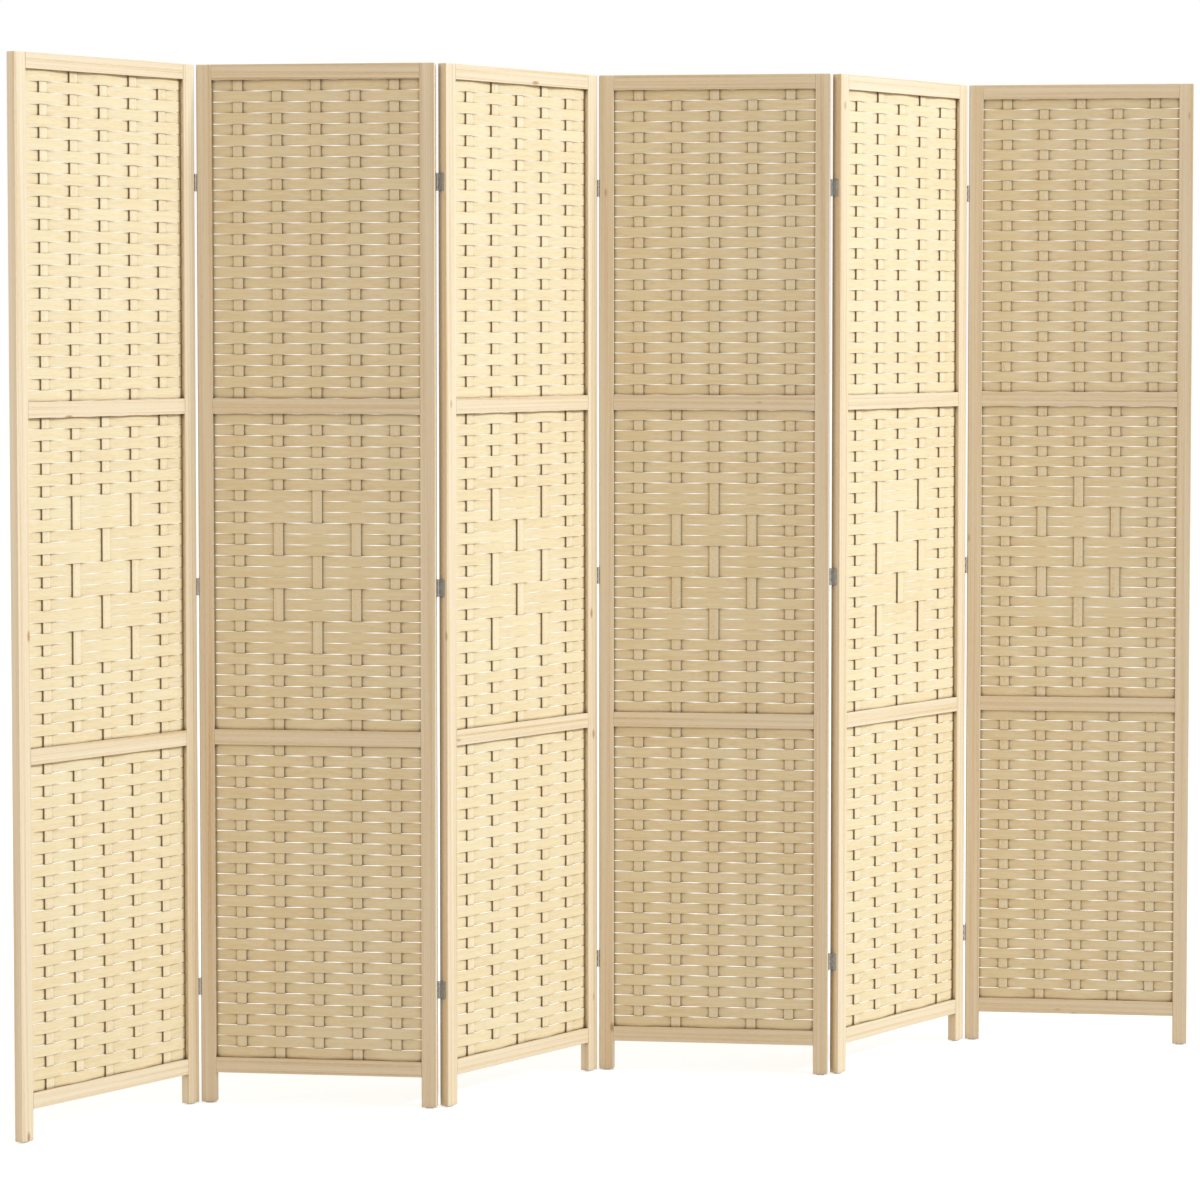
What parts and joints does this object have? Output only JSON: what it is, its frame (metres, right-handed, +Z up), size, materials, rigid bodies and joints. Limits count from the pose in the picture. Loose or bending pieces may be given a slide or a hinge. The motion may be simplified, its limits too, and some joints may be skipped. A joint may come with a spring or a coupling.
{
  "type": "folding privacy screen",
  "caption": "Free-standing folding screen of hinged pine frames filled with woven wood slats; it stands in a zigzag and folds up flat.",
  "frame": {"origin": "on the floor, in the middle of the screen's overall box as it stands", "axes": "+X along the screen from its first panel to its last, +Y to the back, +Z up"},
  "size_m": [2.114, 0.2058, 1.7],
  "materials": {
    "pine": "clear matt lacquer over planed pine",
    "wood_strip": "bare sliced wood strip",
    "zinc_plated_steel": "bright zinc plate, pressed",
    "moulded_plastic": "moulded, matt"
  },
  "bodies": {
    "panel_1": {"panel_1_left_stile": "pine", "panel_1_right_stile": "pine", "panel_1_end_rails": "pine", "panel_1_middle_rails": "pine", "panel_1_stakes": "wood_strip", "panel_1_slats": "wood_strip", "panel_1_hinge_leaves": "zinc_plated_steel", "panel_1_hinge_screws": "zinc_plated_steel", "panel_1_foot_glides": "moulded_plastic", "hinge_pins_1_2": "zinc_plated_steel"},
    "panel_2": {"panel_2_left_stile": "pine", "panel_2_right_stile": "pine", "panel_2_end_rails": "pine", "panel_2_middle_rails": "pine", "panel_2_stakes": "wood_strip", "panel_2_slats": "wood_strip", "panel_2_hinge_leaves": "zinc_plated_steel", "panel_2_hinge_screws": "zinc_plated_steel", "panel_2_foot_glides": "moulded_plastic", "hinge_pins_2_3": "zinc_plated_steel"},
    "panel_3": {"panel_3_left_stile": "pine", "panel_3_right_stile": "pine", "panel_3_end_rails": "pine", "panel_3_middle_rails": "pine", "panel_3_stakes": "wood_strip", "panel_3_slats": "wood_strip", "panel_3_hinge_leaves": "zinc_plated_steel", "panel_3_hinge_screws": "zinc_plated_steel", "panel_3_foot_glides": "moulded_plastic", "hinge_pins_3_4": "zinc_plated_steel"},
    "panel_4": {"panel_4_left_stile": "pine", "panel_4_right_stile": "pine", "panel_4_end_rails": "pine", "panel_4_middle_rails": "pine", "panel_4_stakes": "wood_strip", "panel_4_slats": "wood_strip", "panel_4_hinge_leaves": "zinc_plated_steel", "panel_4_hinge_screws": "zinc_plated_steel", "panel_4_foot_glides": "moulded_plastic", "hinge_pins_4_5": "zinc_plated_steel"},
    "panel_5": {"panel_5_left_stile": "pine", "panel_5_right_stile": "pine", "panel_5_end_rails": "pine", "panel_5_middle_rails": "pine", "panel_5_stakes": "wood_strip", "panel_5_slats": "wood_strip", "panel_5_hinge_leaves": "zinc_plated_steel", "panel_5_hinge_screws": "zinc_plated_steel", "panel_5_foot_glides": "moulded_plastic", "hinge_pins_5_6": "zinc_plated_steel"},
    "panel_6": {"panel_6_left_stile": "pine", "panel_6_right_stile": "pine", "panel_6_end_rails": "pine", "panel_6_middle_rails": "pine", "panel_6_stakes": "wood_strip", "panel_6_slats": "wood_strip", "panel_6_hinge_leaves": "zinc_plated_steel", "panel_6_hinge_screws": "zinc_plated_steel", "panel_6_foot_glides": "moulded_plastic"}
  },
  "joints": [
    {"name": "fold_2_3", "type": "hinge", "parent": "panel_3", "child": "panel_2", "pos_m": [-0.35303, -0.08853, 0.85], "axis": [0, 0, -1], "range_deg": [-58.7, 121.3]},
    {"name": "fold_1_2", "type": "hinge", "parent": "panel_2", "child": "panel_1", "pos_m": [-0.70606, 0.08853, 0.85], "axis": [0, 0, 1], "range_deg": [-58.7, 121.3]},
    {"name": "fold_3_4", "type": "hinge", "parent": "panel_3", "child": "panel_4", "pos_m": [0, 0.08853, 0.85], "axis": [0, 0, -1], "range_deg": [-58.7, 121.3]},
    {"name": "fold_4_5", "type": "hinge", "parent": "panel_4", "child": "panel_5", "pos_m": [0.35303, -0.08853, 0.85], "axis": [0, 0, 1], "range_deg": [-58.7, 121.3]},
    {"name": "fold_5_6", "type": "hinge", "parent": "panel_5", "child": "panel_6", "pos_m": [0.70606, 0.08853, 0.85], "axis": [0, 0, -1], "range_deg": [-58.7, 121.3]}
  ]
}
